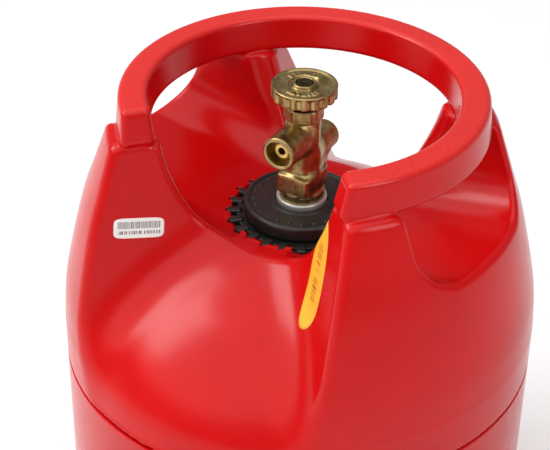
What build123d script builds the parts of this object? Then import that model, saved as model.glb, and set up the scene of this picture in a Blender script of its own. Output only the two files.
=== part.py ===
"""Composite gas cylinder: moulded jacket, composite vessel and brass handwheel valve.

Millimetres, +Z up, origin at the centre of the foot. The gap in the handle ring and the valve outlet face -Y.
"""

import math
import os

from build123d import *

# ---------------------------------------------------------------- driving dimensions
ring_top = 385.0            # top face of the handle ring
body_radius = 152.5         # outside of the jacket
seam_height = 202.0         # parting line between the two jacket halves
seam_gap = 1.6              # visible groove at the parting line
jacket_wall = 4.0

ring_outer = 113.0
ring_inner = 94.0
ring_depth = 22.0           # height of the ring's section
ring_edge = 3.0             # rounding of the ring's edges
window_top = ring_top - ring_depth
ledge_radius = 119.5        # step on top of each pillar

dish_height = ring_top - 86.0
hole_radius = 47.5          # opening in the dish round the valve
dish_wall = 4.5
tooth_count = 24
tooth_angle = 7.0           # degrees taken by one tooth
tooth_reach = 4.0           # how far a tooth stands into the jacket's edge
tooth_width = hole_radius * math.radians(tooth_angle)
notch_clearance = 1.2

side_window_turn = 87.5     # degrees from the front gap to the middle of a side hand-hole
side_window_half = 57.5
side_window_corner = 27.0

vessel_radius = 145.0
vessel_top = ring_top - 100.0
vessel_bottom = 16.0
vessel_dome = 76.0          # height of each domed end
shell_wall = 5.0
liner_wall = 3.0
layer_gap = 0.1

neck_bore = 12.6            # bore of the neck boss, where the valve screws in
collar_radius = 16.0
collar_top = ring_top - 75.5
collar_height = 8.5

valve_flange_radius = 14.0
valve_stem_radius = 12.4
outlet_height = ring_top - 31.5
outlet_radius = 10.9
outlet_reach = 31.0
outlet_thread_length = 14.0
outlet_barrel_radius = 10.3 # plain barrel behind the outlet's thread
outlet_bore = 7.9
outlet_bore_depth = 14.0
relief_height = ring_top - 46.0
relief_radius = 9.5
relief_reach = 31.0
relief_bore = 6.0
column_radius = 11.0
column_top = ring_top - 20.4
chamber_radius = 6.0
seat_height = ring_top - 41.0
orifice_radius = 2.5

spindle_radius = 3.0
spindle_foot_radius = 2.2
running_gap = 0.05

wheel_radius = 20.5
wheel_top = ring_top + 3.5
wheel_thickness = 9.3
wheel_lobes = 18
hub_radius = 7.5
hub_top = ring_top + 5.2
hub_recess_radius = 5.65
hub_recess_depth = 4.6

overcut = 20.0              # how far cutting shapes run past what they cut

os.makedirs("parts", exist_ok=True)


def save(builder, name):
    """Label one finished piece and write it to its own file."""
    builder.part.label = name
    export_step(builder.part, f"parts/{name}.step")


# ---------------------------------------------------------------- jacket surfaces of revolution
# Each profile is drawn in the XZ plane as radius and height.
pillar_profile = [
    (body_radius, ring_top - 155.0),
    (149.8, ring_top - 128.0),
    (139.5, ring_top - 83.0),
    (130.5, ring_top - 55.0),
    (ledge_radius, ring_top - ring_depth),
]
valley_profile = [
    (hole_radius, dish_height),
    (57.0, dish_height - 0.4),
    (66.0, dish_height - 3.4),
    (82.0, dish_height - 12.0),
    (107.0, dish_height - 28.0),
    (132.0, dish_height - 51.0),
    (147.5, dish_height - 75.0),
    (body_radius, dish_height - 92.0),
]
cavity_profile = [
    (hole_radius, dish_height - dish_wall),
    (56.0, dish_height - dish_wall - 0.4),
    (64.5, dish_height - dish_wall - 3.4),
    (79.5, dish_height - 16.0),
    (104.0, dish_height - 31.6),
    (127.0, dish_height - 52.4),
    (137.5, dish_height - 64.5),
    (143.5, dish_height - 75.5),
    (body_radius - jacket_wall, dish_height - 94.0),
]
bowl_profile = [
    (89.5, window_top),
    (86.0, ring_top - 40.0),
    (79.5, ring_top - 57.0),
    (69.0, ring_top - 73.0),
    (58.0, ring_top - 83.0),
    (49.0, dish_height),
]

def envelope(outset):
    """The jacket's outside without its openings, moved outwards by an outset."""
    profile = [(radius + outset, height) for radius, height in pillar_profile]
    foot = seam_height + seam_gap / 2
    with BuildPart() as body:
        with BuildSketch(Plane.XZ):
            with BuildLine():
                Polyline((0, window_top), (0, foot), (body_radius + outset, foot), profile[0])
                Spline(*profile, tangents=[(0, 1), (-1, 2.6)])
                Line(profile[-1], (0, window_top))
            make_face()
        revolve(axis=Axis.Z)
    return body


pillar_envelope = envelope(0)

with BuildPart() as bowl:
    with BuildSketch(Plane.XZ):
        with BuildLine():
            Polyline(bowl_profile[-1], (0, dish_height), (0, ring_top + overcut),
                     (ring_inner, ring_top + overcut), (ring_inner, window_top), bowl_profile[0])
            Spline(*bowl_profile, tangents=[(-0.2, -1), (-1, -0.1)])
        make_face()
    revolve(axis=Axis.Z)

with BuildPart() as valley_floor:
    with BuildSketch(Plane.XZ):
        with BuildLine():
            Spline(*valley_profile, tangents=[(1, 0), (0, -1)])
            Polyline(valley_profile[-1], (body_radius + overcut, valley_profile[-1][1]),
                     (body_radius + overcut, seam_height), (0, seam_height),
                     (0, dish_height), valley_profile[0])
        make_face()
    revolve(axis=Axis.Z)

with BuildPart() as jacket_cavity:
    with BuildSketch(Plane.XZ):
        with BuildLine():
            Spline(*cavity_profile, tangents=[(1, 0), (0, -1)])
            Polyline(cavity_profile[-1], (cavity_profile[-1][0], seam_height - overcut),
                     (0, seam_height - overcut), (0, cavity_profile[0][1]), cavity_profile[0])
        make_face()
    revolve(axis=Axis.Z)

# ---------------------------------------------------------------- openings between the pillars
# The flank of a front pillar is a plane: x = flank_slope * -y - flank_shift.
# It moves in by flank_lean for each millimetre of depth.
flank_slope = 0.98
flank_shift = 8.4
flank_lean = 0.28
flank_far = 175.0
ring_end_slope = 0.91       # the ring's ends stand a little closer together than the flanks


def gap_wedge(slope, low, high, shift_high):
    """The front gap's wedge between two heights; its two sides lean in with depth."""
    with BuildPart() as wedge:
        for height in (low, high):
            shift = shift_high + flank_lean * (high - height)
            side = slope * flank_far - shift
            with BuildSketch(Plane.XY.offset(height)):
                Polygon((0, -shift / slope), (side, -flank_far), (-side, -flank_far), align=None)
        loft(ruled=True)
    return wedge


casing_gap = gap_wedge(flank_slope, seam_height, window_top, flank_shift)
front_cutter = casing_gap.part - valley_floor.part
ring_gap = gap_wedge(ring_end_slope, window_top, ring_top, 0)

window_near = 52.0          # where the hand-hole shapes start, from the axis
window_far = 175.0
back_top_half = 56.0
back_foot_half = 30.0
back_foot = ring_top - 108.0
back_flare = 45.0           # how much wider the back opening is at its outer end, on each side
side_near_bottom = ring_top - 85.8
side_far_bottom = ring_top - 62.0

with BuildPart() as back_gap:
    for reach, flare in ((window_near, 0), (window_far, back_flare)):
        with BuildSketch(Plane.XZ.offset(-reach)):
            with BuildLine():
                foot_half = back_foot_half + flare
                top_half = back_top_half + flare
                Polyline((-foot_half, back_foot - flare), (foot_half, back_foot - flare),
                         (top_half, window_top), (-top_half, window_top), close=True)
            make_face()
    loft(ruled=True)
back_cutter = back_gap.part - valley_floor.part

with BuildPart() as side_gap:
    for reach, bottom in ((window_near, side_near_bottom), (window_far, side_far_bottom)):
        with BuildSketch(Plane.XZ.offset(reach)) as side_outline:
            with BuildLine():
                Polyline((-side_window_half, bottom), (side_window_half, bottom),
                         (side_window_half, window_top), (-side_window_half, window_top), close=True)
            make_face()
            fillet(side_outline.vertices().group_by(Axis.Y)[0], radius=side_window_corner)
    loft(ruled=True)
side_cutters = [side_gap.part.rotate(Axis.Z, turn) for turn in (side_window_turn, -side_window_turn)]

# ---------------------------------------------------------------- handle ring
with BuildPart() as handle_ring:
    with BuildSketch(Plane.XY.offset(window_top)):
        Circle(ring_outer)
        Circle(ring_inner, mode=Mode.SUBTRACT)
    extrude(amount=ring_depth)
    add(ring_gap.part, mode=Mode.SUBTRACT)
    top_edges = handle_ring.edges().filter_by_position(Axis.Z, ring_top, ring_top)
    fillet(top_edges, radius=ring_edge)
save(handle_ring, "handle_ring")

# ---------------------------------------------------------------- upper casing
with BuildPart() as upper_casing:
    add(pillar_envelope.part)
    add(bowl.part, mode=Mode.SUBTRACT)
    add(front_cutter, mode=Mode.SUBTRACT)
    add(back_cutter, mode=Mode.SUBTRACT)
    for cutter in side_cutters:
        add(cutter, mode=Mode.SUBTRACT)
    add(jacket_cavity.part, mode=Mode.SUBTRACT)
    with BuildSketch(Plane.XY.offset(dish_height - 2 * dish_wall)):
        Circle(hole_radius)
    extrude(amount=3 * dish_wall, mode=Mode.SUBTRACT)
    with BuildSketch(Plane.XY.offset(dish_height - 2 * dish_wall)):
        with PolarLocations(hole_radius, tooth_count):
            Rectangle(2 * tooth_reach + notch_clearance, tooth_width + notch_clearance)
    extrude(amount=3 * dish_wall, mode=Mode.SUBTRACT)
save(upper_casing, "upper_casing")

# ---------------------------------------------------------------- lower casing with the foot ring
tongue_outer = body_radius - jacket_wall - 0.3
tongue_inner = tongue_outer - 1.9
tongue_height = 10.0
foot_outer = 138.0
foot_inner = 120.0
foot_corner = 20.0          # height at which the foot curves into the body
floor_height = 10.0         # underside of the raised middle of the base
rim_height = seam_height - seam_gap / 2
rim_chamfer = 0.8

with BuildPart() as lower_casing:
    with BuildSketch(Plane.XZ):
        with BuildLine():
            Polyline((0, floor_height), (foot_inner - 4.0, floor_height), (foot_inner, 0), (foot_outer, 0))
            Spline((foot_outer, 0), (149.0, 6.5), (body_radius, foot_corner), tangents=[(1, 0.1), (0, 1)])
            Polyline((body_radius, foot_corner), (body_radius, rim_height), (tongue_outer, rim_height),
                     (tongue_outer, rim_height + tongue_height), (tongue_inner, rim_height + tongue_height),
                     (tongue_inner, rim_height - tongue_height),
                     (body_radius - jacket_wall, rim_height - tongue_height - jacket_wall),
                     (body_radius - jacket_wall, foot_corner + 4.0), (foot_outer, jacket_wall),
                     (foot_inner + 4.0, jacket_wall), (foot_inner, floor_height + jacket_wall),
                     (0, floor_height + jacket_wall), (0, floor_height))
        make_face()
    revolve(axis=Axis.Z)
    rim_edges = lower_casing.edges().filter_by(GeomType.CIRCLE)
    rim_edges = rim_edges.filter_by_position(Axis.Z, rim_height, rim_height)
    chamfer(rim_edges.sort_by(SortBy.RADIUS)[-1], length=rim_chamfer)
save(lower_casing, "lower_casing")


# ---------------------------------------------------------------- pressure vessel
def domed_tank(inset):
    """The vessel's outside shape, made smaller all over by an inset."""
    radius = vessel_radius - inset
    dome = vessel_dome - inset
    low_centre = (0, vessel_bottom + vessel_dome)
    high_centre = (0, vessel_top - vessel_dome)
    with BuildPart() as tank:
        with BuildSketch(Plane.XZ):
            with BuildLine():
                high_arc = EllipticalCenterArc(high_centre, radius, dome, 0, arc_size=90)
                low_arc = EllipticalCenterArc(low_centre, radius, dome, 270, arc_size=90)
                Line(low_arc @ 1, high_arc @ 0)
                Line(high_arc @ 1, low_arc @ 0)
            make_face()
        revolve(axis=Axis.Z)
    return tank


def vessel_layer(inset, wall, opening):
    """A closed shell with domed ends, open at the neck."""
    with BuildPart() as layer:
        add(domed_tank(inset).part)
        add(domed_tank(inset + wall).part, mode=Mode.SUBTRACT)
        with BuildSketch(Plane.XY.offset(vessel_top - vessel_dome)):
            Circle(opening)
        extrude(amount=2 * vessel_dome, mode=Mode.SUBTRACT)
    return layer


boss_radius = 20.0
boss_flange_radius = 34.0

composite_shell = vessel_layer(0, shell_wall, boss_radius + layer_gap)
save(composite_shell, "composite_shell")

inner_liner = vessel_layer(shell_wall + layer_gap, liner_wall, boss_radius + layer_gap)
save(inner_liner, "inner_liner")

neck_top = collar_top - collar_height
liner_under = vessel_top - shell_wall - liner_wall - 4.2

with BuildPart() as neck_boss:
    with BuildSketch(Plane.XZ):
        with BuildLine():
            Polyline((neck_bore, liner_under - 14.0), (boss_radius, liner_under - 14.0),
                     (boss_flange_radius, liner_under - 4.0), (boss_flange_radius, liner_under),
                     (boss_radius, liner_under), (boss_radius, neck_top - 3.0),
                     (boss_radius - 2.0, neck_top), (neck_bore + 2.6, neck_top),
                     (neck_bore + 2.6, neck_top - 2.2), (neck_bore, neck_top - 2.2), close=True)
        make_face()
    revolve(axis=Axis.Z)
save(neck_boss, "neck_boss")

with BuildPart() as boss_seal:
    with BuildSketch(Plane.XZ):
        with Locations((neck_bore + 1.3, neck_top - 1.1)):
            Circle(1.0)
    revolve(axis=Axis.Z)
save(boss_seal, "boss_seal")

with BuildPart() as boss_collar:
    with BuildSketch(Plane.XY.offset(neck_top)):
        Circle(collar_radius)
        Circle(neck_bore, mode=Mode.SUBTRACT)
    extrude(amount=collar_height)
    outer_edges = boss_collar.edges().filter_by_position(Axis.Z, collar_top, collar_top)
    fillet(outer_edges.sort_by(SortBy.RADIUS)[-1], radius=1.2)
save(boss_collar, "boss_collar")

# ---------------------------------------------------------------- toothed neck ring
ring_disc_radius = 41.0
ring_disc_top = ring_top - 78.5
ring_flange_top = dish_height - dish_wall - 1.5
ring_flange_height = 4.0
ring_skirt = 4.0

with BuildPart() as neck_ring:
    with BuildSketch(Plane.XZ):
        with BuildLine():
            Polyline((collar_radius + 0.3, neck_top + 0.4), (collar_radius + 0.3, ring_disc_top),
                     (ring_disc_radius - 1.5, ring_disc_top), (ring_disc_radius, ring_disc_top - 1.5),
                     (ring_disc_radius, ring_flange_top), (hole_radius - 0.7, ring_flange_top),
                     (hole_radius - 0.7, ring_flange_top - ring_flange_height),
                     (ring_disc_radius - ring_skirt, ring_flange_top - ring_flange_height),
                     (ring_disc_radius - ring_skirt, neck_top + 0.4), close=True)
        make_face()
    revolve(axis=Axis.Z)
    with BuildSketch(Plane.XY.offset(ring_flange_top - ring_flange_height)):
        with PolarLocations(hole_radius - 0.7, tooth_count):
            Rectangle(2 * tooth_reach, tooth_width)
        Circle(ring_disc_radius, mode=Mode.SUBTRACT)
    extrude(amount=ring_flange_height + dish_wall)
    with BuildSketch(Plane.XY.offset(ring_flange_top)):
        Circle(hole_radius - 0.7)
        Circle(ring_disc_radius + 0.01, mode=Mode.SUBTRACT)
    extrude(amount=2 * dish_wall, mode=Mode.SUBTRACT)
save(neck_ring, "neck_ring")

# ---------------------------------------------------------------- valve body
outlet_plane = Plane(origin=(0, 0, outlet_height), x_dir=(1, 0, 0), z_dir=(0, -1, 0))
relief_plane = Plane(origin=(0, 0, relief_height), x_dir=(1, 0, 0), z_dir=(0, 1, 0))
stem_foot = ring_top - 112.0
relief_seat = 10.0          # distance of the relief seat from the valve's axis
bonnet_skirt_radius = 7.3
bonnet_skirt_length = 4.0

flange_height = 5.0
block_foot = collar_top + flange_height
block_width = 23.0
block_depth = 27.0
block_corner = 4.0
block_top = block_foot + 13.0
shoulder_radius = 12.0
shoulder_top = block_top + 8.0
outlet_chamfer = 1.2
relief_chamfer = 1.0
gasket_room = 0.6

with BuildPart() as valve_body:
    with BuildSketch(Plane.XY.offset(stem_foot)):
        Circle(valve_stem_radius)
    extrude(amount=collar_top - stem_foot)
    with BuildSketch(Plane.XY.offset(collar_top)):
        Circle(valve_flange_radius)
    extrude(amount=flange_height)
    with BuildSketch(Plane.XY.offset(block_foot)):
        RectangleRounded(block_width, block_depth, block_corner)
    extrude(amount=block_top - block_foot)
    with BuildSketch(Plane.XY.offset(block_top)):
        Circle(shoulder_radius)
    with BuildSketch(Plane.XY.offset(shoulder_top)):
        Circle(column_radius)
    loft()
    with BuildSketch(Plane.XY.offset(shoulder_top)):
        Circle(column_radius)
    extrude(amount=column_top - shoulder_top)
    with BuildSketch(outlet_plane):
        Circle(outlet_barrel_radius)
    extrude(amount=outlet_reach)
    with BuildSketch(outlet_plane.offset(outlet_reach - outlet_thread_length)):
        Circle(outlet_radius)
    extrude(amount=outlet_thread_length)
    chamfer(valve_body.edges().filter_by(GeomType.CIRCLE).sort_by(Axis.Y)[0], length=outlet_chamfer)
    with BuildSketch(relief_plane):
        Circle(relief_radius)
    extrude(amount=relief_reach)
    chamfer(valve_body.edges().filter_by(GeomType.CIRCLE).sort_by(Axis.Y)[-1], length=relief_chamfer)
    with BuildSketch(Plane.XY.offset(seat_height)):
        Circle(chamber_radius)
    extrude(amount=overcut, mode=Mode.SUBTRACT)
    with BuildSketch(Plane.XY.offset(column_top - bonnet_skirt_length - gasket_room)):
        Circle(bonnet_skirt_radius + running_gap)
    extrude(amount=overcut, mode=Mode.SUBTRACT)
    with BuildSketch(Plane.XY.offset(stem_foot)):
        Circle(orifice_radius)
    extrude(amount=seat_height - stem_foot, mode=Mode.SUBTRACT)
    with BuildSketch(outlet_plane):
        Circle(orifice_radius)
    extrude(amount=outlet_reach, mode=Mode.SUBTRACT)
    with BuildSketch(outlet_plane.offset(outlet_reach - outlet_bore_depth)):
        Circle(outlet_bore)
    extrude(amount=outlet_bore_depth, mode=Mode.SUBTRACT)
    with BuildSketch(relief_plane):
        Circle(orifice_radius)
    extrude(amount=relief_reach, mode=Mode.SUBTRACT)
    with BuildSketch(relief_plane.offset(relief_seat)):
        Circle(relief_bore)
    extrude(amount=relief_reach, mode=Mode.SUBTRACT)
save(valve_body, "valve_body")

nozzle_plane = outlet_plane.offset(outlet_reach - outlet_bore_depth)
nozzle_clearance = 0.02
nozzle_base = 3.0
nozzle_radius = 4.6
nozzle_length = 9.0

with BuildPart() as outlet_nozzle:
    with BuildSketch(nozzle_plane):
        Circle(outlet_bore - nozzle_clearance)
    extrude(amount=nozzle_base)
    with BuildSketch(nozzle_plane):
        Circle(nozzle_radius)
    extrude(amount=nozzle_length)
    with BuildSketch(nozzle_plane):
        Circle(orifice_radius)
    extrude(amount=nozzle_length, mode=Mode.SUBTRACT)
save(outlet_nozzle, "outlet_nozzle")

# ---------------------------------------------------------------- bonnet, spindle and seat
spindle_bore = spindle_radius + running_gap
bonnet_foot = column_top
bonnet_hex_top = column_top + 9.5
bonnet_top = column_top + 13.5
bonnet_corner_radius = 13.4
bonnet_corner_round = 2.2
bonnet_neck_radius = 8.0
seal_groove_radius = 4.7
seal_groove_height = 1.9
seal_spacing = 3.4
first_seal = column_top + 5.6
collar_clearance = 4.5
stem_collar_radius = 4.4
stem_collar_low = column_top - 1.6
stem_collar_high = column_top + 3.6
seal_heights = [first_seal, first_seal + seal_spacing]

with BuildPart() as bonnet_nut:
    with BuildSketch(Plane.XY.offset(bonnet_foot)):
        RegularPolygon(bonnet_corner_radius, 6, rotation=30)
    extrude(amount=bonnet_hex_top - bonnet_foot)
    fillet(bonnet_nut.edges().filter_by(Axis.Z), radius=bonnet_corner_round)
    with BuildSketch(Plane.XY.offset(bonnet_foot - bonnet_skirt_length)):
        Circle(bonnet_skirt_radius)
    extrude(amount=bonnet_skirt_length)
    with BuildSketch(Plane.XY.offset(bonnet_hex_top)):
        Circle(bonnet_neck_radius)
    extrude(amount=bonnet_top - bonnet_hex_top)
    with BuildSketch(Plane.XY.offset(bonnet_foot - bonnet_skirt_length)):
        Circle(spindle_bore)
    extrude(amount=bonnet_top - bonnet_foot + bonnet_skirt_length, mode=Mode.SUBTRACT)
    with BuildSketch(Plane.XY.offset(bonnet_foot - bonnet_skirt_length)):
        Circle(collar_clearance)
    extrude(amount=stem_collar_high + running_gap - bonnet_foot + bonnet_skirt_length, mode=Mode.SUBTRACT)
    for height in seal_heights:
        with BuildSketch(Plane.XY.offset(height - seal_groove_height / 2)):
            Circle(seal_groove_radius)
        extrude(amount=seal_groove_height, mode=Mode.SUBTRACT)
save(bonnet_nut, "bonnet_nut")

seal_section = 0.75
with BuildPart() as spindle_o_rings:
    with BuildSketch(Plane.XZ):
        with Locations(*[(spindle_radius + running_gap + seal_section, height) for height in seal_heights]):
            Circle(seal_section)
    revolve(axis=Axis.Z)
save(spindle_o_rings, "spindle_o_rings")

gasket_thickness = 0.5
gasket_clearance = 0.1

with BuildPart() as bonnet_gasket:
    with BuildSketch(Plane.XY.offset(column_top - bonnet_skirt_length - gasket_thickness - running_gap)):
        Circle(bonnet_skirt_radius - gasket_clearance)
        Circle(chamber_radius, mode=Mode.SUBTRACT)
    extrude(amount=gasket_thickness)
save(bonnet_gasket, "bonnet_gasket")

spindle_top = hub_top - 0.8
spindle_foot = seat_height + 7.0
wheel_low = wheel_top - wheel_thickness
shoulder_height = wheel_low         # the wheel rests on this shoulder
spindle_tip_radius = 2.5

with BuildPart() as valve_spindle:
    with BuildSketch(Plane.XY.offset(spindle_foot)):
        Circle(spindle_foot_radius)
    extrude(amount=stem_collar_low - spindle_foot)
    with BuildSketch(Plane.XY.offset(stem_collar_low)):
        Circle(stem_collar_radius)
    extrude(amount=stem_collar_high - stem_collar_low)
    with BuildSketch(Plane.XY.offset(stem_collar_high)):
        Circle(spindle_radius)
    extrude(amount=shoulder_height - stem_collar_high)
    with BuildSketch(Plane.XY.offset(shoulder_height)):
        Circle(spindle_tip_radius)
    extrude(amount=spindle_top - shoulder_height)
save(valve_spindle, "valve_spindle")

seat_disc_height = 2.0
seat_disc_radius = 4.2
plug_radius = 5.0
plug_foot = seat_height + seat_disc_height + 2 * running_gap
plug_height = 9.6
plug_floor = 0.9

with BuildPart() as seat_disc:
    with BuildSketch(Plane.XY.offset(seat_height + running_gap)):
        Circle(seat_disc_radius)
    extrude(amount=seat_disc_height)
save(seat_disc, "seat_disc")

with BuildPart() as seat_plug:
    with BuildSketch(Plane.XY.offset(plug_foot)):
        Circle(plug_radius)
    extrude(amount=plug_height)
    with BuildSketch(Plane.XY.offset(plug_foot + plug_floor)):
        Circle(spindle_foot_radius + running_gap)
    extrude(amount=plug_height, mode=Mode.SUBTRACT)
save(seat_plug, "seat_plug")

# ---------------------------------------------------------------- handwheel
hub_foot = wheel_low
scallop_radius = 2.7
scallop_depth = 1.1
web_height = 4.2
rim_width = 4.6
hub_groove = 1.5

with BuildPart() as handwheel:
    with BuildSketch(Plane.XY.offset(wheel_low)):
        Circle(wheel_radius)
        with PolarLocations(wheel_radius + scallop_radius - scallop_depth, wheel_lobes):
            Circle(scallop_radius, mode=Mode.SUBTRACT)
    extrude(amount=wheel_thickness)
    with BuildSketch(Plane.XY.offset(wheel_low)):
        Circle(wheel_radius - rim_width)
        Circle(hub_radius + hub_groove, mode=Mode.SUBTRACT)
    extrude(amount=wheel_thickness - web_height, mode=Mode.SUBTRACT)
    with BuildSketch(Plane.XY.offset(hub_foot)):
        Circle(hub_radius)
    extrude(amount=hub_top - hub_foot)
    with BuildSketch(Plane.XY.offset(hub_foot)):
        Circle(spindle_tip_radius + running_gap)
    extrude(amount=hub_top - hub_foot, mode=Mode.SUBTRACT)
    with BuildSketch(Plane.XY.offset(hub_top - hub_recess_depth)):
        Circle(hub_recess_radius)
    extrude(amount=hub_recess_depth, mode=Mode.SUBTRACT)
save(handwheel, "handwheel")

wheel_nut_radius = 5.4
wheel_nut_height = 3.2

with BuildPart() as handwheel_nut:
    with BuildSketch(Plane.XY.offset(hub_top - hub_recess_depth)):
        RegularPolygon(wheel_nut_radius, 6)
        Circle(spindle_tip_radius + running_gap, mode=Mode.SUBTRACT)
    extrude(amount=wheel_nut_height)
save(handwheel_nut, "handwheel_nut")

# ---------------------------------------------------------------- relief valve
seal_thickness = 1.6
relief_seal_radius = 4.4
poppet_clearance = 0.3
poppet_stem_radius = 2.4
plug_clearance = 0.05
plug_length = 4.0
plug_key_radius = 2.9
poppet_start = relief_seat + 0.1 + seal_thickness
poppet_head = 3.0
poppet_length = 8.0
spring_start = poppet_start + poppet_head
plug_start = relief_reach - 4.6
spring_wire = 0.5
spring_radius = 4.2
spring_turns = 4

with BuildPart() as relief_seal:
    with BuildSketch(relief_plane.offset(relief_seat + running_gap)):
        Circle(relief_seal_radius)
    extrude(amount=seal_thickness)
save(relief_seal, "relief_seal")

with BuildPart() as relief_poppet:
    with BuildSketch(relief_plane.offset(poppet_start)):
        Circle(relief_bore - poppet_clearance)
    extrude(amount=poppet_head)
    with BuildSketch(relief_plane.offset(poppet_start + poppet_head)):
        Circle(poppet_stem_radius)
    extrude(amount=poppet_length - poppet_head)
save(relief_poppet, "relief_poppet")

spring_length = plug_start - spring_start - 2 * spring_wire - 0.2
spring_origin = (0, spring_start + spring_wire + 0.1, relief_height)
with BuildPart() as relief_spring:
    with BuildLine():
        coil = Helix(spring_length / spring_turns, spring_length, spring_radius,
                     center=spring_origin, direction=(0, 1, 0))
    with BuildSketch(Plane(origin=coil @ 0, z_dir=coil % 0)):
        Circle(spring_wire)
    sweep(is_frenet=True)
save(relief_spring, "relief_spring")

with BuildPart() as relief_plug:
    with BuildSketch(relief_plane.offset(plug_start)):
        Circle(relief_bore - plug_clearance)
        RegularPolygon(plug_key_radius, 6, mode=Mode.SUBTRACT)
    extrude(amount=plug_length)
save(relief_plug, "relief_plug")

# ---------------------------------------------------------------- cushions between vessel and jacket
with BuildPart() as base_cushion:
    with BuildSketch(Plane.XZ):
        with BuildLine():
            Line((40.0, floor_height + jacket_wall), (96.0, floor_height + jacket_wall))
            Line((96.0, floor_height + jacket_wall), (96.0, vessel_bottom + 18.6))
            Spline((96.0, vessel_bottom + 18.6), (70.0, vessel_bottom + 9.0), (40.0, vessel_bottom + 2.6))
            Line((40.0, vessel_bottom + 2.6), (40.0, floor_height + jacket_wall))
        make_face()
    revolve(axis=Axis.Z)
save(base_cushion, "base_cushion")

with BuildPart() as shoulder_cushion:
    with BuildSketch(Plane.XZ):
        with BuildLine():
            Polyline((80.0, vessel_top - 11.8), (80.0, dish_height - 17.0),
                     (100.0, dish_height - 29.6), (100.0, vessel_top - 20.0), close=True)
        make_face()
    revolve(axis=Axis.Z)
save(shoulder_cushion, "shoulder_cushion")

# ---------------------------------------------------------------- labels
label_length = 31.0
label_height = 12.9
label_corner = 2.0
label_place = (-87.9, ring_top - 74.1)      # y and height of its middle
label_tilt = -5.6           # degrees from level
sticker_length = 68.0
sticker_width = 22.0
sticker_place = (-79.0, ring_top - 70.0)
sticker_tilt = 101.0
label_thickness = 0.4
glue_gap = 0.02


def flank_plane(side, place, tilt):
    """Plane on the gap-side face of a front pillar, right (side 1) or left (side -1) of the gap."""
    y, height = place
    x = side * (flank_slope * -y - flank_shift - flank_lean * (window_top - height))
    normal = Vector(-side, -flank_slope, flank_lean).normalized()
    level = Vector(0, 0, 1).cross(normal)
    along = level.rotate(Axis((0, 0, 0), normal), tilt)
    return Plane(origin=(x, y, height), x_dir=along, z_dir=normal).offset(glue_gap)


with BuildPart() as barcode_label:
    with BuildSketch(flank_plane(-1, label_place, label_tilt)):
        RectangleRounded(label_length, label_height, label_corner)
    extrude(amount=label_thickness)
save(barcode_label, "barcode_label")

with BuildPart() as warning_sticker:
    with BuildSketch(flank_plane(1, sticker_place, sticker_tilt)):
        Ellipse(sticker_length / 2, sticker_width / 2)
    extrude(amount=label_thickness)
save(warning_sticker, "warning_sticker")
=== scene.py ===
"""Looks for the composite gas cylinder: red jacket, brass valve, black neck ring and two stickers."""

import math

import bpy
import numpy as np
from mathutils import Matrix, Vector


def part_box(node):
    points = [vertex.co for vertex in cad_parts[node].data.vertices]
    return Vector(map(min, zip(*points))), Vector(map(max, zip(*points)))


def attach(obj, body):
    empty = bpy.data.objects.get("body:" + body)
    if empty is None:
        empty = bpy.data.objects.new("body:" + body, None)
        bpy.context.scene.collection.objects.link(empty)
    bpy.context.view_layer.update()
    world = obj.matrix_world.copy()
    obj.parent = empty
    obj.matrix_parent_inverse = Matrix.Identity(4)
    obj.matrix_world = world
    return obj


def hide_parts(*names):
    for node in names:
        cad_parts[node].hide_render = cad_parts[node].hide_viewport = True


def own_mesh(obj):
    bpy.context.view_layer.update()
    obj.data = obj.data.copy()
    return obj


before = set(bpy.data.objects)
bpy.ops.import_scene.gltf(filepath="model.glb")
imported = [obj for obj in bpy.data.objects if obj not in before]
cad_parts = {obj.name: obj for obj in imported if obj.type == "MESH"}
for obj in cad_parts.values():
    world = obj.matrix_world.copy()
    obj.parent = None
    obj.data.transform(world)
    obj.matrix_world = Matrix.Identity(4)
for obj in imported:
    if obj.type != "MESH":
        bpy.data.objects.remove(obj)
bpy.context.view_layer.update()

MM = 0.001
# The fields below use millimetres, with heights counted from the ring's top face.
RING_TOP = 385.0


# ---------------------------------------------------------------- fields: negative inside, in millimetres
def smooth_max(a, b, k):
    """The larger of two fields, rounded over a width k where they meet."""
    h = np.clip(k - np.abs(a - b), 0, None) / k
    return np.maximum(a, b) + h * h * k / 4


def smooth_min(a, b, k):
    """The smaller of two fields, rounded over a width k where they meet."""
    return -smooth_max(-a, -b, k)


def rounded_rectangle(across, up, half_across, half_up, rounding):
    """Distance to a rectangle with rounded corners, centred on zero."""
    qx = np.abs(across) - half_across + rounding
    qz = np.abs(up) - half_up + rounding
    outside = np.hypot(np.maximum(qx, 0), np.maximum(qz, 0))
    return outside + np.minimum(np.maximum(qx, qz), 0) - rounding


def disc(radius_here, z, radius, low, high, rounding):
    """A round disc between two heights, with rounded rims."""
    return rounded_rectangle(radius_here, z - (low + high) / 2, radius, (high - low) / 2, rounding)


def curve_through(points, steps=12):
    """A smooth curve through points, as a longer list of points."""
    p = np.array([points[0], *points, points[-1]], float)
    p[0] = 2 * p[1] - p[2]
    p[-1] = 2 * p[-2] - p[-3]
    t = np.linspace(0, 1, steps, endpoint=False)[:, None]
    out = []
    for a, b, c, d in zip(p[:-3], p[1:-2], p[2:-1], p[3:]):
        out.append(0.5 * (2 * b + (c - a) * t + (2 * a - 5 * b + 4 * c - d) * t ** 2
                          + (3 * b - a - 3 * c + d) * t ** 3))
    out.append(np.array([points[-1]], float))
    return [tuple(q) for q in np.vstack(out)]


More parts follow.
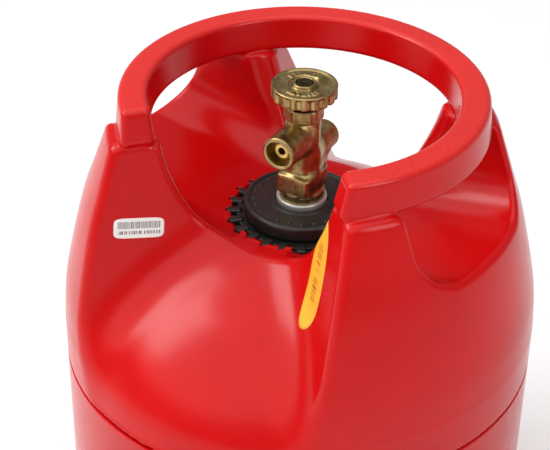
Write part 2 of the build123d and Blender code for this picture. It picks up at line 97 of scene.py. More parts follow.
class Profile:
    """Signed distance to a closed outline in radius and height, tabulated once and then looked up."""

    step = 1.0
    low = (-4.0, -240.0)
    size = (215, 310)

    def __init__(self, outline):
        r = self.low[0] + self.step * np.arange(self.size[0])
        z = self.low[1] + self.step * np.arange(self.size[1])
        gr, gz = np.meshgrid(r, z, indexing="ij")
        near = np.full(gr.shape, 1e9)
        inside = np.zeros(gr.shape, bool)
        for (ar, az), (br, bz) in zip(outline, outline[1:] + outline[:1]):
            er, ez = br - ar, bz - az
            length = er * er + ez * ez
            if length < 1e-9:
                continue
            t = np.clip(((gr - ar) * er + (gz - az) * ez) / length, 0, 1)
            near = np.minimum(near, np.hypot(gr - ar - t * er, gz - az - t * ez))
            if az != bz:
                crosses = (az > gz) != (bz > gz)
                inside ^= crosses & (gr < (br - ar) * (gz - az) / (bz - az) + ar)
        self.table = np.where(inside, -near, near).astype(np.float32)

    def __call__(self, r, z):
        u = np.clip((r - self.low[0]) / self.step, 0, self.size[0] - 1.001)
        v = np.clip((z - self.low[1]) / self.step, 0, self.size[1] - 1.001)
        i, j = u.astype(np.int32), v.astype(np.int32)
        fu, fv = u - i, v - j
        t = self.table
        return ((t[i, j] * (1 - fu) + t[i + 1, j] * fu) * (1 - fv)
                + (t[i, j + 1] * (1 - fu) + t[i + 1, j + 1] * fu) * fv)


# ---------------------------------------------------------------- meshes from fields
CORNERS = np.array([(i, j, k) for i in (0, 1) for j in (0, 1) for k in (0, 1)])
EDGES = [(a, b) for a in range(8) for b in range(a + 1, 8) if np.abs(CORNERS[a] - CORNERS[b]).sum() == 1]


def slope(field, p, step=0.05):
    """The gradient of a field at points, by central differences."""
    g = np.empty_like(p)
    for axis in range(3):
        shift = np.zeros(3)
        shift[axis] = step
        g[:, axis] = (field(*(p + shift).T) - field(*(p - shift).T)) / (2 * step)
    return g


def mesh_object(name, points, faces, normals=None):
    """A mesh object from points in millimetres below the ring's top."""
    mesh = bpy.data.meshes.new(name)
    world = (points + np.array([0, 0, RING_TOP])) * MM
    mesh.vertices.add(len(world))
    mesh.vertices.foreach_set("co", world.astype(np.float32).ravel())
    mesh.loops.add(faces.size)
    mesh.loops.foreach_set("vertex_index", faces.astype(np.int32).ravel())
    mesh.polygons.add(len(faces))
    mesh.polygons.foreach_set("loop_start", np.arange(0, faces.size, faces.shape[1], dtype=np.int32))
    mesh.polygons.foreach_set("use_smooth", np.ones(len(faces), bool))
    mesh.update(calc_edges=True)
    mesh.validate()
    if normals is not None and len(mesh.vertices) == len(normals):
        mesh.normals_split_custom_set_from_vertices(normals.tolist())
    obj = bpy.data.objects.new(name, mesh)
    bpy.context.scene.collection.objects.link(obj)
    return obj


def field_object(name, field, low, high, cell):
    """Surface nets over a box, pulled onto the field, with normals taken from the field."""
    low, high = np.array(low, float), np.array(high, float)
    count = np.ceil((high - low) / cell).astype(int) + 1
    axes = [low[a] + cell * np.arange(count[a]) for a in range(3)]
    values = np.empty(count, np.float32)
    for i, x in enumerate(axes[0]):
        gy, gz = np.meshgrid(axes[1], axes[2], indexing="ij")
        values[i] = field(np.full_like(gy, x), gy, gz)
    inside = values < 0
    total = sum(inside[a:count[0] - 1 + a, b:count[1] - 1 + b, c:count[2] - 1 + c].astype(np.int8)
                for a, b, c in CORNERS)
    cells = np.argwhere((total > 0) & (total < 8))
    corner = np.stack([values[cells[:, 0] + a, cells[:, 1] + b, cells[:, 2] + c] for a, b, c in CORNERS], 1)
    summed = np.zeros((len(cells), 3))
    hits = np.zeros(len(cells))
    for a, b in EDGES:
        va, vb = corner[:, a], corner[:, b]
        cross = (va < 0) != (vb < 0)
        t = np.where(cross, va / np.where(cross, va - vb, 1), 0)
        spot = CORNERS[a] + t[:, None] * (CORNERS[b] - CORNERS[a])
        summed += spot * cross[:, None]
        hits += cross
    points = low + cell * (cells + summed / hits[:, None])
    index = np.full(total.shape, -1, np.int64)
    index[tuple(cells.T)] = np.arange(len(cells))
    quads = []
    for axis in range(3):
        b, c = (axis + 1) % 3, (axis + 2) % 3
        first = [slice(None)] * 3
        second = [slice(None)] * 3
        first[axis], second[axis] = slice(0, -1), slice(1, None)
        flips = inside[tuple(first)] != inside[tuple(second)]
        where = np.argwhere(flips)
        where = where[(where[:, b] > 0) & (where[:, c] > 0)
                      & (where[:, b] < total.shape[b]) & (where[:, c] < total.shape[c])]
        outward = inside[tuple(where.T)]
        ring = []
        for db, dc in ((-1, -1), (0, -1), (0, 0), (-1, 0)):
            spot = where.copy()
            spot[:, b] += db
            spot[:, c] += dc
            ring.append(index[tuple(spot.T)])
        quad = np.stack(ring, 1)
        quad[~outward] = quad[~outward][:, ::-1]
        quads.append(quad[(quad >= 0).all(1)])
    for _ in range(3):
        g = slope(field, points)
        length = np.maximum((g * g).sum(1), 0.05)
        move = -field(*points.T)[:, None] * g / length[:, None]
        size = np.linalg.norm(move, axis=1, keepdims=True)
        points = points + move * np.minimum(1, 0.6 * cell / np.maximum(size, 1e-9))
    g = slope(field, points)
    normals = g / np.maximum(np.linalg.norm(g, axis=1, keepdims=True), 1e-9)
    return mesh_object(name, points, np.vstack(quads), normals)


# ---------------------------------------------------------------- red jacket
DISH, LEDGE = -86.0, -22.0
ENVELOPE = [(119.5, -22.0), (130.5, -55.0), (139.5, -83.0), (149.8, -128.0), (152.45, -155.0)]
VALLEY = [(43.0, -86.0), (57.0, -86.4), (66.0, -89.4), (82.0, -98.0), (107.0, -114.0), (132.0, -137.0),
          (147.5, -161.0), (152.4, -178.0)]
BOWL = [(49.0, -86.0), (58.0, -83.0), (69.0, -73.0), (79.5, -57.0), (86.0, -40.0), (89.5, -22.0)]
SEAM_TOP = -182.2
HOLE = 44.4
TEETH = 24

envelope = Profile([(0, 60), (100.0, 30), (112.0, 0)] + curve_through(ENVELOPE)
                   + [(152.45, SEAM_TOP), (0, SEAM_TOP)])
valley = Profile([(0, DISH)] + curve_through(VALLEY) + [(205, -178.0), (205, -235), (0, -235)])
bowl = Profile([(0, DISH)] + curve_through(BOWL) + [(94.0, -22.0), (94.0, 60), (0, 60)])

FLANK_SLOPE, FLANK_SHIFT, FLANK_LEAN = 0.98, 8.4, 0.28
RING_END_SLOPE = 0.91
SIDE_TURN, SIDE_HALF, SIDE_CORNER = 87.5, 57.5, 27.0
SIDE_NEAR, SIDE_FAR = -85.8, -62.0
WINDOW_NEAR, WINDOW_FAR = 52.0, 175.0


def flank(x, y, z):
    """The faces of the front pillars beside the gap; negative in the pillars."""
    norm = math.sqrt(1 + FLANK_SLOPE ** 2 + FLANK_LEAN ** 2)
    return (FLANK_SLOPE * -y - FLANK_SHIFT - FLANK_LEAN * (LEDGE - z) - np.abs(x)) / norm


def side_tunnel(x, y, z, side):
    """A rounded U-shaped hand-hole to one side; negative in the solid round it."""
    turn = math.radians(SIDE_TURN - 90)
    along = side * x * math.cos(turn) + y * math.sin(turn)
    across = -side * x * math.sin(turn) + y * math.cos(turn)
    bottom = SIDE_NEAR + (along - WINDOW_NEAR) * (SIDE_FAR - SIDE_NEAR) / (WINDOW_FAR - WINDOW_NEAR)
    qx = np.abs(across) - SIDE_HALF + SIDE_CORNER
    qz = bottom - z + SIDE_CORNER
    inside = np.hypot(np.maximum(qx, 0), np.maximum(qz, 0)) + np.minimum(np.maximum(qx, qz), 0) - SIDE_CORNER
    return np.where(along > 20, -inside, -30.0)


def back_flank(x, y, z):
    """The faces of the back pillars beside the back opening; negative in the pillars."""
    reach = (y - WINDOW_NEAR) / (WINDOW_FAR - WINDOW_NEAR)
    half = 30 + 26 * (z + 108) / 86 + 45 * np.clip(reach, 0, 1.5)
    return np.where(y > 20, (half - np.abs(x)) / 1.12, -30.0)


def pillars(x, y, z):
    """The jacket's upper half below the handle ring: dish, four pillars and the openings between them."""
    r = np.hypot(x, y)
    body = smooth_max(envelope(r, z), -bowl(r, z), 5.0)
    floor = valley(r, z)
    body = smooth_max(body, smooth_min(flank(x, y, z), floor, 24.0), 7.0)
    body = smooth_max(body, smooth_min(back_flank(x, y, z), floor, 26.0), 7.0)
    for side in (1, -1):
        body = smooth_max(body, side_tunnel(x, y, z, side), 5.0)
    return smooth_max(body, z - LEDGE, 5.0)


def handle_ring(x, y, z):
    """The ring handle, open at the front."""
    r = np.hypot(x, y)
    ring = rounded_rectangle(r - 103.5, z + 11.5, 9.5 - 0.09 * (z + 8), 11.5, 3.2)
    norm = math.sqrt(1 + RING_END_SLOPE ** 2 + FLANK_LEAN ** 2)
    ends = (RING_END_SLOPE * -y - FLANK_LEAN * -z - np.abs(x)) / norm
    return smooth_max(ring, ends, 5.0)


def hole_edge(x, y):
    """The dish's opening with one notch for each tooth of the neck ring; negative in the dish."""
    r = np.hypot(x, y)
    notch = np.clip((np.cos(np.arctan2(y, x) * TEETH) - 0.55) / 0.3, 0, 1)
    return HOLE + 3.3 * notch - r


def jacket(x, y, z):
    """Pillars and ring as one moulding, with the hole for the neck ring."""
    body = smooth_min(pillars(x, y, z), handle_ring(x, y, z), 2.6)
    return smooth_max(body, hole_edge(x, y), 1.2)


def flat_normal(field, p):
    """Unit normals of a field at points."""
    g = slope(field, p)
    return g / np.linalg.norm(g, axis=1, keepdims=True)


# ---------------------------------------------------------------- brass valve
OUTLET_HEIGHT, RELIEF_HEIGHT = -31.5, -46.0


def round_bar(x, y, z, height, reach, side, radius, rounding):
    """A cylinder along Y from the valve's axis, to one side."""
    return rounded_rectangle(np.hypot(x, z - height), side * y - reach / 2, radius, reach / 2, rounding)


def valve(x, y, z):
    """The valve body: foot, wrench block, column, outlet to the front and relief port to the back."""
    r = np.hypot(x, y)
    body = disc(r, z, 14.0, -76.0, -70.0, 1.2)
    block = smooth_max(rounded_rectangle(x, y, 11.5, 13.5, 3.2), np.abs(z + 64.0) - 6.5, 1.6)
    body = smooth_min(body, block, 1.6)
    column = disc(r, z, 10.9, -72.0, -20.4, 0.8)
    body = smooth_min(body, column, 5.0)
    outlet = round_bar(x, y, z, OUTLET_HEIGHT, 31.0, -1, 10.9, 1.5)
    body = smooth_min(body, outlet, 3.5)
    relief = smooth_min(round_bar(x, y, z, RELIEF_HEIGHT, 31.0, 1, 9.5, 2.6),
                        round_bar(x, y, z, RELIEF_HEIGHT, 22.0, 1, 8.4, 1.0), 1.0)
    body = smooth_min(body, relief, 5.0)
    saddle = smooth_max(np.hypot(x, (z + 56.0) / 1.2) - 7.5, np.abs(y - 10.0) - 9.0, 2.0)
    body = smooth_min(body, saddle, 5.0)
    bore = np.maximum(np.hypot(x, z - OUTLET_HEIGHT) - 7.9, y + 17.0)
    body = smooth_max(body, -bore, 0.9)
    body = np.maximum(body, -np.maximum(np.hypot(x, z - OUTLET_HEIGHT) - 2.5, y))
    body = smooth_max(body, -np.maximum(np.hypot(x, z - RELIEF_HEIGHT) - 6.0, 12.0 - y), 0.8)
    body = np.maximum(body, -np.maximum(r - 7.35, -25.0 - z))
    return np.minimum(body, disc(r, z, 12.4, -112.0, -74.0, 0.5))


def hexagon(x, y, apothem):
    """A hexagon in plan, with rounded corners."""
    best = None
    for turn in (0, 60, 120):
        a = math.radians(turn)
        d = np.abs(x * math.cos(a) + y * math.sin(a)) - apothem
        best = d if best is None else smooth_max(best, d, 2.4)
    return best


def bonnet(x, y, z):
    """The hexagonal bonnet under the handwheel."""
    r = np.hypot(x, y)
    body = smooth_max(hexagon(x, y, 11.5), np.abs(z + 15.6) - 4.7, 1.6)
    body = smooth_max(body, r - 13.0, 1.2)
    body = smooth_min(body, disc(r, z, 8.0, -20.3, -6.95, 1.0), 2.0)
    body = np.minimum(body, disc(r, z, 7.3, -24.4, -15.0, 0.3))
    return np.maximum(body, -(r - 3.05))


WHEEL_LOBES = 18


def marks(x, y):
    """Raised generic strokes in two arcs round the wheel's face: 1 on a stroke, 0 off it."""
    r = np.hypot(x, y)
    turn = np.degrees(np.arctan2(y, x))
    raised = np.zeros_like(r)
    for middle, strokes in ((118.0, 7), (-62.0, 7)):
        for n in range(strokes):
            centre = middle + (n - (strokes - 1) / 2) * 13.5
            across = (turn - centre + 180) % 360 - 180
            along = r - 12.9
            width = 3.0 if n % 3 else 5.2
            stroke = np.clip(1.6 - np.abs(np.radians(across) * r) / (width * 0.28), 0, 1)
            raised = np.maximum(raised, stroke * np.clip(2.4 - np.abs(along) / 1.05, 0, 1))
            bar = np.clip(2.0 - np.abs(along - (1.7 if n % 2 else -1.7)) / 0.42, 0, 1)
            raised = np.maximum(raised, bar * np.clip(1.9 - np.abs(np.radians(across) * r) / 1.1, 0, 1))
    return raised


def handwheel(x, y, z):
    """The scalloped handwheel with a raised rim, a grooved face and a recessed hub."""
    r = np.hypot(x, y)
    turn = np.arctan2(y, x) * WHEEL_LOBES
    scallop = 1.05 * np.clip(0.5 - 0.75 * np.cos(turn), 0, 1)
    edge = r + scallop * np.clip((2.2 - z) / 1.6, 0.0, 1.0)
    body = disc(edge, z, 20.4, -5.8, 3.4, 1.5)
    face = z - 2.3 - 0.7 * np.clip((r - 17.0) / 1.6, 0, 1) - 0.55 * marks(x, y)
    body = smooth_max(body, face, 0.6)
    groove = smooth_max(1.5 - z, np.abs(r - 9.0) - 0.9, 0.5)
    body = smooth_max(body, -groove, 0.5)
    body = np.maximum(body, -np.maximum(np.maximum(r - 15.9, 9.0 - r), z + 1.0))
    hub = disc(r, z, 7.5, -5.8, 4.0, 1.1)
    body = smooth_min(body, hub, 0.8)
    recess = np.maximum(r - 5.4, 0.6 - z)
    body = smooth_max(body, -recess, 0.7)
    return np.maximum(body, -(r - 2.55))


def neck_ring(x, y, z):
    """The toothed ring round the valve's foot: dished disc, skirt, flange, teeth and studs."""
    r = np.hypot(x, y)
    body = disc(r, z, 36.5, -88.6, -78.5, 2.2)
    body = np.maximum(body, -(r - 16.3))
    dish = smooth_max(np.abs(r - 26.5) - 6.5, -79.4 - z, 0.6)
    body = smooth_max(body, -dish, 0.6)
    flange = np.maximum(disc(r, z, 46.8, -95.9, -92.0, 0.5), 37.0 - r)
    skirt = np.maximum(disc(r, z, 41.0, -95.9, -89.5, 0.5), 34.0 - r)
    body = np.minimum(np.minimum(body, skirt), flange)
    turn = np.arctan2(y, x) * TEETH
    off_tooth = (np.abs((turn + math.pi) % (2 * math.pi) - math.pi) / TEETH) * r
    tooth = smooth_max(off_tooth - 2.8, np.abs(r - 42.5) - 4.4, 1.2)
    tooth = smooth_max(tooth, np.abs(z + 91.6) - 3.7, 1.2)
    studs = np.sqrt(off_tooth ** 2 + (r - 30.0) ** 2 + (z + 79.6) ** 2) - 1.3
    return np.minimum(np.minimum(body, tooth), studs)


# ---------------------------------------------------------------- node materials
def material(name):
    """A new node material, with its nodes, its links and its shader."""
    m = bpy.data.materials.new(name)
    m.use_nodes = True
    return m, m.node_tree.nodes, m.node_tree.links, m.node_tree.nodes["Principled BSDF"]


def noise(nodes, links, scale, detail=4.0, rough=0.55):
    """Noise in the piece's own coordinates."""
    place = nodes.new("ShaderNodeTexCoord")
    n = nodes.new("ShaderNodeTexNoise")
    n.inputs["Scale"].default_value = scale
    n.inputs["Detail"].default_value = detail
    n.inputs["Roughness"].default_value = rough
    links.new(place.outputs["Object"], n.inputs["Vector"])
    return n.outputs["Fac"]


def ramp(nodes, links, source, low, high, colour_low, colour_high):
    """One colour below a value, another above a second value, and a blend between."""
    r = nodes.new("ShaderNodeValToRGB")
    r.color_ramp.elements[0].position = low
    r.color_ramp.elements[1].position = high
    r.color_ramp.elements[0].color = (*colour_low, 1)
    r.color_ramp.elements[1].color = (*colour_high, 1)
    links.new(source, r.inputs["Fac"])
    return r.outputs["Color"]


def span(nodes, links, source, low, high):
    """A value between 0 and 1, spread over another range."""
    m = nodes.new("ShaderNodeMapRange")
    m.inputs["To Min"].default_value = low
    m.inputs["To Max"].default_value = high
    links.new(source, m.inputs["Value"])
    return m.outputs["Result"]


def mix(nodes, links, factor, a, b):
    """A blend of two colours, each a constant or another node's output."""
    m = nodes.new("ShaderNodeMix")
    m.data_type = "RGBA"
    links.new(factor, m.inputs["Factor"])
    for value, socket in ((a, "A"), (b, "B")):
        spot = [s for s in m.inputs if s.name == socket and s.type == "RGBA"][0]
        if isinstance(value, tuple):
            spot.default_value = (*value, 1)
        else:
            links.new(value, spot)
    return [s for s in m.outputs if s.type == "RGBA"][0]


def bump(nodes, links, shader, height, strength, distance):
    """A fine relief on a shader."""
    b = nodes.new("ShaderNodeBump")
    b.inputs["Strength"].default_value = strength
    b.inputs["Distance"].default_value = distance
    links.new(height, b.inputs["Height"])
    links.new(b.outputs["Normal"], shader.inputs["Normal"])


def plain(name, colour, other, rough, metallic=0.0, scale=60.0, strength=0.12, coat=0.0):
    """Colour and roughness that vary a little, with a fine bump."""
    m, nodes, links, shader = material(name)
    tone = ramp(nodes, links, noise(nodes, links, scale), 0.3, 0.7, colour, other)
    links.new(tone, shader.inputs["Base Color"])
    links.new(span(nodes, links, noise(nodes, links, scale * 2.7), rough - 0.06, rough + 0.08),
              shader.inputs["Roughness"])
    shader.inputs["Metallic"].default_value = metallic
    shader.inputs["Coat Weight"].default_value = coat
    bump(nodes, links, shader, noise(nodes, links, scale * 9), strength, 0.0004)
    return m


def red_plastic():
    """Glossy red plastic, with a painted highlight of paler pink speckles on the ring's top face."""
    m, nodes, links, shader = material("red_jacket_plastic")
    tone = ramp(nodes, links, noise(nodes, links, 9.0, 3.0), 0.3, 0.7,
                (0.48, 0.0012, 0.002), (0.58, 0.002, 0.003))
    geometry = nodes.new("ShaderNodeNewGeometry")
    split = nodes.new("ShaderNodeSeparateXYZ")
    links.new(geometry.outputs["Position"], split.inputs["Vector"])
    # Painted highlight: the ring's top face is blended, in speckles, towards a paler pink, as if the light
    # falls on it.
    top = nodes.new("ShaderNodeMapRange")
    top.inputs["From Min"].default_value = (RING_TOP - 3.0) * MM
    top.inputs["From Max"].default_value = (RING_TOP - 0.3) * MM
    links.new(split.outputs["Z"], top.inputs["Value"])
    top_highlight = nodes.new("ShaderNodeMath")
    top_highlight.operation = "MULTIPLY"
    links.new(top.outputs["Result"], top_highlight.inputs[0])
    links.new(span(nodes, links, noise(nodes, links, 900.0, 2.0), 0.10, 0.62), top_highlight.inputs[1])
    tone_with_top_highlight = mix(nodes, links, top_highlight.outputs["Value"], tone, (0.80, 0.07, 0.06))
    links.new(tone_with_top_highlight, shader.inputs["Base Color"])
    links.new(span(nodes, links, noise(nodes, links, 35.0, 5.0), 0.16, 0.28), shader.inputs["Roughness"])
    shader.inputs["Specular IOR Level"].default_value = 0.26
    bump(nodes, links, shader, noise(nodes, links, 420.0, 3.0), 0.05, 0.0005)
    return m


def brass(name, bright):
    """Brass with uneven tone and spots of grime, machined bright or aged."""
    m, nodes, links, shader = material(name)
    if bright:
        light, dark = (0.86, 0.60, 0.22), (0.62, 0.38, 0.11)
    else:
        light, dark = (0.52, 0.385, 0.16), (0.23, 0.15, 0.055)
    tone = ramp(nodes, links, noise(nodes, links, 90.0, 6.0, 0.65), 0.32, 0.68, dark, light)
    grime = ramp(nodes, links, noise(nodes, links, 260.0, 4.0), 0.56, 0.75, (0, 0, 0), (1, 1, 1))
    links.new(mix(nodes, links, grime, tone, (0.12, 0.07, 0.03)), shader.inputs["Base Color"])
    links.new(span(nodes, links, noise(nodes, links, 180.0, 5.0), 0.20, 0.46), shader.inputs["Roughness"])
    shader.inputs["Metallic"].default_value = 1.0
    bump(nodes, links, shader, noise(nodes, links, 520.0, 4.0), 0.22, 0.0005)
    return m


def printed(name, paper, rows):
    """Sticker paper with rows of generic upright bars. Coordinates run -1 to 1 over the sticker."""
    m, nodes, links, shader = material(name)
    place = nodes.new("ShaderNodeUVMap")
    split = nodes.new("ShaderNodeSeparateXYZ")
    links.new(place.outputs["UV"], split.inputs["Vector"])
    colour = ramp(nodes, links, noise(nodes, links, 120.0), 0.3, 0.7, paper, tuple(0.94 * c for c in paper))
    for u0, u1, v0, v1, fineness, ink in rows:
        factors = []
        for axis, a, b in (("X", u0, u1), ("Y", v0, v1)):
            for operation, limit in (("GREATER_THAN", a), ("LESS_THAN", b)):
                test = nodes.new("ShaderNodeMath")
                test.operation = operation
                links.new(split.outputs[axis], test.inputs[0])
                test.inputs[1].default_value = limit
                factors.append(test.outputs["Value"])
        wave = nodes.new("ShaderNodeTexNoise")
        wave.noise_dimensions = "1D"
        wave.inputs["Scale"].default_value = fineness
        wave.inputs["Detail"].default_value = 2.0
        links.new(split.outputs["X"], wave.inputs["W"])
        test = nodes.new("ShaderNodeMath")
        test.operation = "GREATER_THAN"
        test.inputs[1].default_value = 0.5
        links.new(wave.outputs["Fac"], test.inputs[0])
        factors.append(test.outputs["Value"])
        value = factors[0]
        for other in factors[1:]:
            product = nodes.new("ShaderNodeMath")
            product.operation = "MULTIPLY"
            links.new(value, product.inputs[0])
            links.new(other, product.inputs[1])
            value = product.outputs["Value"]
        colour = mix(nodes, links, value, colour, ink)
    links.new(colour, shader.inputs["Base Color"])
    links.new(span(nodes, links, noise(nodes, links, 200.0), 0.28, 0.42), shader.inputs["Roughness"])
    bump(nodes, links, shader, noise(nodes, links, 300.0), 0.05, 0.0003)
    return m


RED = red_plastic()
BRASS = brass("aged_brass", False)
BRIGHT = brass("machined_brass", True)
# Painted shade: the handwheel nut gets this near-black metal so the wheel's hub reads as a dark hole. The
# valve spindle uses the same dark metal.
DARK_METAL_AND_HUB_SHADE = plain("dark_metal_and_hub_shade", (0.10, 0.065, 0.03), (0.05, 0.032, 0.015), 0.4, metallic=1.0, scale=200.0)
BLACK = plain("black_neck_plastic", (0.006, 0.0055, 0.005), (0.016, 0.014, 0.012), 0.40, scale=120.0)
COLLAR = plain("pale_collar_metal", (0.66, 0.66, 0.62), (0.50, 0.50, 0.47), 0.34, metallic=0.7, scale=150.0)
RUBBER = plain("black_rubber", (0.02, 0.02, 0.02), (0.035, 0.035, 0.035), 0.6)
STEEL = plain("spring_steel", (0.55, 0.55, 0.56), (0.42, 0.42, 0.43), 0.3, metallic=1.0)
FOAM = plain("grey_foam", (0.22, 0.22, 0.23), (0.30, 0.30, 0.31), 0.85, scale=200.0, strength=0.5)
SHELL = plain("wound_composite", (0.36, 0.33, 0.22), (0.55, 0.51, 0.38), 0.45, scale=80.0, strength=0.3)
LINER = plain("black_liner", (0.03, 0.03, 0.03), (0.06, 0.06, 0.06), 0.5)
GASKET = plain("white_gasket", (0.8, 0.8, 0.77), (0.7, 0.7, 0.66), 0.5)
LABEL = printed("label_print", (0.86, 0.86, 0.84), [
    (-0.84, 0.84, -0.02, 0.66, 46.0, (0.03, 0.03, 0.03)),
    (-0.84, 0.84, -0.60, -0.26, 19.0, (0.10, 0.10, 0.10))])
STICKER = printed("sticker_print", (0.92, 0.46, 0.035), [
    (-0.55, -0.05, -0.30, 0.34, 16.0, (0.45, 0.13, 0.02)),
    (0.08, 0.58, -0.30, 0.34, 20.0, (0.55, 0.18, 0.02))])


def dress(obj, body, slot, mat, *nodes):
    """Gives a piece its look, its body and the CAD nodes that it stands in for; the slot argument is not
    used.
    """
    obj.data.materials.clear()
    obj.data.materials.append(mat)
    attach(obj, body)
    if nodes:
        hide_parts(*nodes)
    return obj


# ---------------------------------------------------------------- pieces built from the fields
CELL = 1.6
casing = field_object("jacket_upper", jacket, (-154, -154, -184), (154, 154, 3), CELL)
dress(casing, "root", "jacket", RED, "upper_casing", "handle_ring")
dress(field_object("valve_casting", valve, (-16, -33, -114), (16, 33, -18), 0.5),
      "root", "brass", BRASS, "valve_body")
dress(field_object("bonnet_hex", bonnet, (-15, -15, -26), (15, 15, -5), 0.45),
      "root", "brass", BRASS, "bonnet_nut")
dress(field_object("wheel_casting", handwheel, (-22, -22, -8), (22, 22, 6), 0.33),
      "wheel", "brass", BRASS, "handwheel")
dress(field_object("neck_ring_teeth", neck_ring, (-53, -53, -98), (53, 53, -76), 0.7),
      "root", "neck_plastic", BLACK, "neck_ring")


# ---------------------------------------------------------------- stickers laid on the jacket
def sticker_piece(name, side, place, tilt, half_long, half_wide, power, mat, slot, node):
    """A thin sticker pressed onto the gap-side face of a front pillar.

    Its outline is an oval at a power of 2 and squarer at a higher power.
    """
    y, z = place
    x = side * (FLANK_SLOPE * -y - FLANK_SHIFT - FLANK_LEAN * (LEDGE - z))
    normal = Vector((-side, -FLANK_SLOPE, FLANK_LEAN)).normalized()
    level = Vector((0, 0, 1)).cross(normal).normalized()
    along = Matrix.Rotation(math.radians(tilt), 3, normal) @ level
    across = normal.cross(along)
    rings, spokes = 14, 96
    turns = np.linspace(0, 2 * math.pi, spokes, endpoint=False)
    outline = (np.abs(np.cos(turns)) ** power + np.abs(np.sin(turns)) ** power) ** (-1 / power)
    uv = [(0.0, 0.0)]
    for k in range(1, rings + 1):
        s = k / rings
        uv += [(s * o * math.cos(t), s * o * math.sin(t)) for o, t in zip(outline, turns)]
    uv = np.array(uv)
    base = np.array([x, y, z])
    points = base + uv[:, :1] * half_long * np.array(along) + uv[:, 1:] * half_wide * np.array(across)
    for _ in range(6):
        points = points - jacket(*points.T)[:, None] * np.array(normal)
    g = flat_normal(jacket, points)
    top = points + 0.30 * g
    skirt = points[-spokes:] - 0.15 * g[-spokes:] + 0.1 * (points[-spokes:] - base) / 30
    all_points = np.vstack([top, skirt])
    faces = []
    for k in range(spokes):
        n = (k + 1) % spokes
        faces.append((0, 1 + k, 1 + n, 0))
        for ring in range(rings):
            a = 1 + ring * spokes
            b = a + spokes
            faces.append((a + k, b + k, b + n, a + n))
    mesh = bpy.data.meshes.new(name)
    world = (all_points + np.array([0, 0, RING_TOP])) * MM
    mesh.from_pydata(world.tolist(), [], [tuple(dict.fromkeys(f)) for f in faces])
    layer = mesh.uv_layers.new(name="print")
    uv_all = np.vstack([uv, uv[-spokes:]])
    loops = np.zeros(len(mesh.loops), np.int32)
    mesh.loops.foreach_get("vertex_index", loops)
    layer.data.foreach_set("uv", uv_all[loops].astype(np.float32).ravel())
    mesh.polygons.foreach_set("use_smooth", np.ones(len(mesh.polygons), bool))
    obj = bpy.data.objects.new(name, mesh)
    bpy.context.scene.collection.objects.link(obj)
    return dress(obj, "root", slot, mat, node)


sticker_piece("label_white", -1, (-87.9, -74.1), -5.6, 15.5, 6.45, 6.0, LABEL,
              "label", "barcode_label")
sticker_piece("sticker_oval", 1, (-79.0, -70.0), 101.0, 34.0, 11.0, 2.0, STICKER,
              "sticker", "warning_sticker")


# ---------------------------------------------------------------- relief spring
def coil_spring(name, node, turns):
    """A round-wire coil along Y in the place of a CAD spring."""
    low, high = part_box(node)
    wire = 0.5 * MM
    middle = (low + high) / 2
    radius = (high.x - low.x) / 2 - wire
    along, around = 40 * turns + 1, 8
    start, end = low.y + wire, high.y - wire
    points, faces = [], []
    for i in range(along):
        t = i / (along - 1)
        a = 2 * math.pi * turns * t
        outward = Vector((math.cos(a), 0, math.sin(a)))
        centre = Vector((middle.x, start + t * (end - start), middle.z)) + outward * radius
        for j in range(around):
            b = 2 * math.pi * j / around
            points.append(centre + outward * wire * math.cos(b) + Vector((0, wire * math.sin(b), 0)))
    for i in range(along - 1):
        for j in range(around):
            a, b = i * around + j, i * around + (j + 1) % around
            faces.append((a, b, b + around, a + around))
    faces.append(tuple(range(around)))
    faces.append(tuple(reversed(range((along - 1) * around, along * around))))
    mesh = bpy.data.meshes.new(name)
    mesh.from_pydata(points, [], faces)
    mesh.polygons.foreach_set("use_smooth", np.ones(len(faces), bool))
    obj = bpy.data.objects.new(name, mesh)
    bpy.context.scene.collection.objects.link(obj)
    dress(obj, "root", "spring_steel", STEEL, node)
    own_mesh(obj)


coil_spring("relief_coil", "relief_spring", 4)

# ---------------------------------------------------------------- carried-over pieces
KEPT = {
    "lower_casing": RED, "composite_shell": SHELL, "inner_liner": LINER, "neck_boss": BRIGHT,
    # The handwheel nut takes the near-black metal as painted shade for the hub's hole.
    "boss_seal": RUBBER, "boss_collar": COLLAR, "handwheel_nut": DARK_METAL_AND_HUB_SHADE, "outlet_nozzle": BRIGHT,
    "bonnet_gasket": GASKET, "spindle_o_rings": RUBBER, "valve_spindle": DARK_METAL_AND_HUB_SHADE, "seat_plug": BRIGHT,
    "seat_disc": RUBBER, "relief_seal": RUBBER, "relief_poppet": BRIGHT, "relief_plug": BRIGHT,
    "base_cushion": FOAM, "shoulder_cushion": FOAM}
for node, look in KEPT.items():
    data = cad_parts[node].data
    data.materials.clear()
    data.materials.append(look)

# ---------------------------------------------------------------- floor, light and camera
floor_mesh = bpy.data.meshes.new("studio_floor")
floor_mesh.from_pydata([(-30, -30, 0), (30, -30, 0), (30, 30, 0), (-30, 30, 0)], [], [(0, 1, 2, 3)])
studio_floor = bpy.data.objects.new("studio_floor", floor_mesh)
studio_floor.data.materials.append(
    plain("pale_floor", (0.93, 0.93, 0.93), (0.90, 0.90, 0.90), 0.6, scale=3.0))
bpy.context.scene.collection.objects.link(studio_floor)

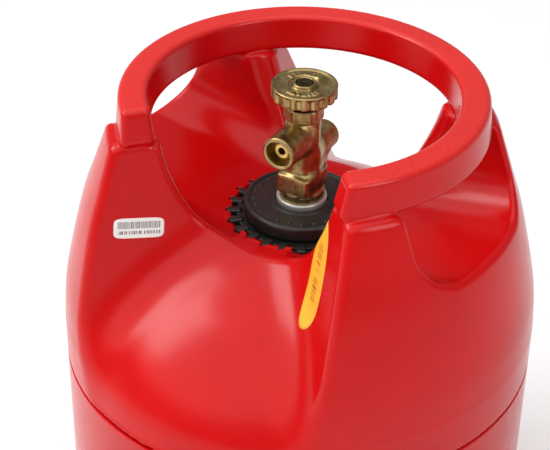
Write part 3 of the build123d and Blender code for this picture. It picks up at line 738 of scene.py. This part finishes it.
scene = bpy.context.scene
scene.view_settings.view_transform = "Standard"
world = bpy.data.worlds.new("studio")
world.use_nodes = True
world.node_tree.nodes["Background"].inputs["Color"].default_value = (1.0, 1.0, 1.0, 1)
world.node_tree.nodes["Background"].inputs["Strength"].default_value = 0.30
scene.world = world


def area_light(name, place, target, size, power):
    """A rectangular lamp that faces a target."""
    data = bpy.data.lights.new(name, "AREA")
    data.shape = "RECTANGLE"
    data.size, data.size_y = size
    data.energy = power
    lamp = bpy.data.objects.new(name, data)
    lamp.location = place
    lamp.rotation_euler = (Vector(target) - Vector(place)).to_track_quat("-Z", "Y").to_euler()
    scene.collection.objects.link(lamp)


area_light("window_left", (-0.9, -0.5, 1.15), (0, 0, 0.34), (0.5, 0.7), 7.0)
area_light("window_right", (1.0, -0.3, 0.9), (0, 0, 0.3), (0.35, 0.6), 3.0)

sun_data = bpy.data.lights.new("sky_panel", "SUN")
sun_data.energy = 2.4
sun_data.angle = math.radians(100)
sun = bpy.data.objects.new("sky_panel", sun_data)
sun.rotation_euler = Vector((-0.25, -0.35, 1.0)).to_track_quat("Z", "Y").to_euler()
scene.collection.objects.link(sun)

CAMERA_AZIMUTH = math.radians(30.3)
CAMERA_PITCH = math.radians(33.985)
CAMERA_ROLL = -0.0148219
CAMERA_PLACE = (0.41235, -0.73843, 0.8549)
LENS_MM = 104.727273
forward_flat = Vector((-math.sin(CAMERA_AZIMUTH), math.cos(CAMERA_AZIMUTH), 0))
right = Vector((math.cos(CAMERA_AZIMUTH), math.sin(CAMERA_AZIMUTH), 0))
forward = forward_flat * math.cos(CAMERA_PITCH) - Vector((0, 0, math.sin(CAMERA_PITCH)))
down = forward.cross(right)
right_rolled = right * math.cos(CAMERA_ROLL) + down * math.sin(CAMERA_ROLL)
down_rolled = -right * math.sin(CAMERA_ROLL) + down * math.cos(CAMERA_ROLL)
lens = bpy.data.cameras.new("camera")
lens.sensor_width = 36.0
lens.lens = LENS_MM
camera = bpy.data.objects.new("camera", lens)
camera_turn = Matrix((right_rolled, -down_rolled, -forward)).transposed()
camera.matrix_world = Matrix.Translation(CAMERA_PLACE) @ camera_turn.to_4x4()
scene.collection.objects.link(camera)
scene.camera = camera
